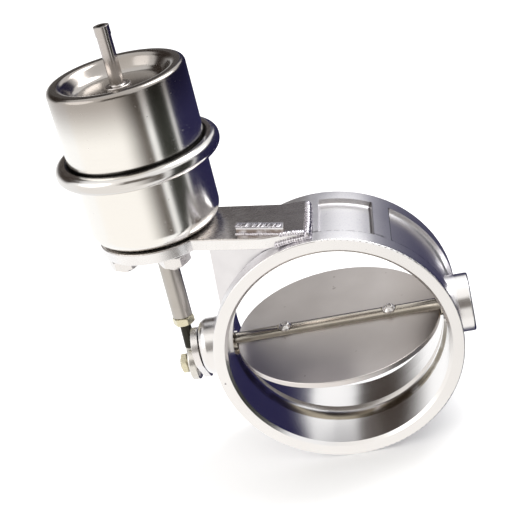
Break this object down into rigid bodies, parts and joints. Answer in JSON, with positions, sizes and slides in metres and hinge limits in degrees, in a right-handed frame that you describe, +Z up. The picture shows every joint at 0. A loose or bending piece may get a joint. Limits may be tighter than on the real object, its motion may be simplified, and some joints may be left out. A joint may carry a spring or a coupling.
{
  "type": "exhaust cutout valve",
  "caption": "Vacuum-operated butterfly valve for an exhaust pipe: cast ring housing with a cross shaft, disc and lever, driven by a diaphragm can on a welded bracket.",
  "frame": {"origin": "centre of the inlet face, on the gas bore's axis", "axes": "+X along the cross shaft away from the actuator, +Y along the gas path from inlet to outlet, +Z up to the actuator's nipple"},
  "size_m": [0.1326, 0.0754, 0.1639],
  "materials": {
    "cast_steel": "satin cast stainless, pale warm grey",
    "plate_steel": "laser-cut plate with mill finish",
    "can_steel": "drawn stainless, satin brushed",
    "machined_steel": "turned and ground stainless",
    "disc_steel": "sheet stainless with fine scratches",
    "zinc": "pale yellow zinc plate",
    "black_steel": "black oxide",
    "bronze": "sintered bronze",
    "rubber": "moulded rubber",
    "spring_steel": "spring wire"
  },
  "bodies": {
    "valve_body": {"valve_housing": "cast_steel", "actuator_bracket": "plate_steel", "bracket_web": "plate_steel", "shaft_bush_left": "bronze", "shaft_bush_right": "bronze", "shaft_end_plug": "machined_steel", "shaft_seal": "rubber", "thrust_washer": "machined_steel", "actuator_lower_can": "can_steel", "actuator_upper_can": "can_steel", "crimp_ring": "can_steel", "diaphragm": "rubber", "return_spring": "spring_steel", "vacuum_nipple": "machined_steel", "mounting_studs": "machined_steel", "stud_nuts": "machined_steel"},
    "butterfly": {"valve_shaft": "machined_steel", "butterfly_disc": "disc_steel", "disc_screws": "machined_steel", "shaft_lever": "machined_steel", "lever_pin": "machined_steel", "pin_nut": "zinc", "rod_end_ball": "machined_steel"},
    "rod": {"actuator_rod": "machined_steel", "rod_lock_nut": "zinc", "rod_end": "black_steel", "retainer_plate": "machined_steel", "piston_cup": "machined_steel", "piston_nut": "zinc"}
  },
  "joints": [
    {"name": "shaft_turn", "type": "hinge", "parent": "valve_body", "child": "butterfly", "pos_m": [0, 0.0195, 0], "axis": [1, 0, 0], "range_deg": [0, 87], "stiffness_Nm_per_rad": 0.05, "springref_deg": -17.19, "deforming": ["return_spring", "diaphragm"]},
    {"name": "rod_pivot", "type": "hinge", "parent": "butterfly", "child": "rod", "pos_m": [-0.0556, 0.02559, -0.00904], "axis": [1, 0, 0], "range_deg": [-85, 0]}
  ],
  "couplings": [
    {"joint": "rod_pivot", "follows": "shaft_turn", "ratio": -0.96621}
  ]
}
